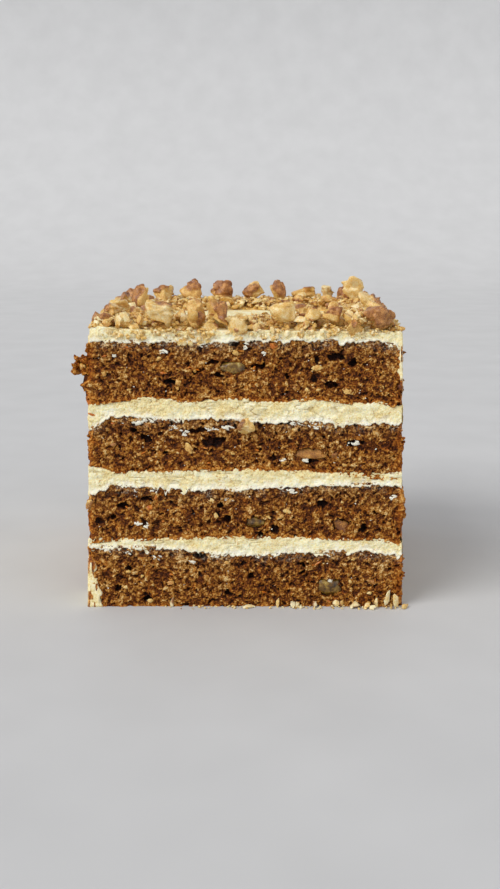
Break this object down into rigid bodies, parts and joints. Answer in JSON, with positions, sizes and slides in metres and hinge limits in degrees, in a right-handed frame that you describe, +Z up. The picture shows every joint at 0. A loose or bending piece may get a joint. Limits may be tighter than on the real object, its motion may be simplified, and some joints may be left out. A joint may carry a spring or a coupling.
{
  "type": "carrot cake",
  "caption": "Square layered carrot cake with cream cheese filling and chopped walnuts on top, cut open at the front to show its sponge.",
  "frame": {"origin": "middle of the cake's bounding box, on the surface it stands on", "axes": "+Z up; the cut face looks towards -Y; +X runs to the right as seen when facing the cut"},
  "size_m": [0.1548, 0.1492, 0.15],
  "materials": {
    "sponge": "moist, open carrot cake crumb",
    "cream": "soft matte cream cheese frosting",
    "walnut_flesh": "dry broken walnut kernel",
    "walnut_skin": "papery brown walnut skin",
    "fruit": "moist translucent dried fruit"
  },
  "bodies": {
    "root": {"filling_1": "cream", "filling_2": "cream", "filling_3": "cream", "frosting": "cream", "nut_border": "walnut_flesh", "nut_in_crumb_1": "walnut_flesh", "nut_in_crumb_2": "walnut_skin", "nut_on_face": "walnut_flesh", "side_crumb": "sponge", "sponge_1": "sponge", "sponge_2": "sponge", "sponge_3": "sponge", "sponge_4": "sponge", "sultana_1": "fruit", "sultana_2": "fruit", "sultana_3": "fruit", "walnut_01": "walnut_flesh", "walnut_02": "walnut_flesh", "walnut_03": "walnut_skin", "walnut_04": "walnut_flesh", "walnut_05": "walnut_flesh", "walnut_06": "walnut_flesh", "walnut_07": "walnut_flesh", "walnut_08": "walnut_skin", "walnut_09": "walnut_flesh", "walnut_10": "walnut_flesh", "walnut_11": "walnut_flesh", "walnut_12": "walnut_skin", "walnut_13": "walnut_flesh", "walnut_14": "walnut_flesh", "walnut_15": "walnut_flesh", "walnut_16": "walnut_flesh", "walnut_17": "walnut_skin", "walnut_18": "walnut_skin", "walnut_19": "walnut_skin", "walnut_20": "walnut_skin", "walnut_21": "walnut_flesh", "walnut_22": "walnut_flesh", "walnut_23": "walnut_skin", "walnut_24": "walnut_flesh", "walnut_25": "walnut_flesh", "walnut_26": "walnut_flesh", "walnut_27": "walnut_skin", "walnut_28": "walnut_flesh", "walnut_29": "walnut_flesh", "walnut_30": "walnut_flesh", "walnut_31": "walnut_flesh", "walnut_32": "walnut_skin"}
  },
  "joints": []
}
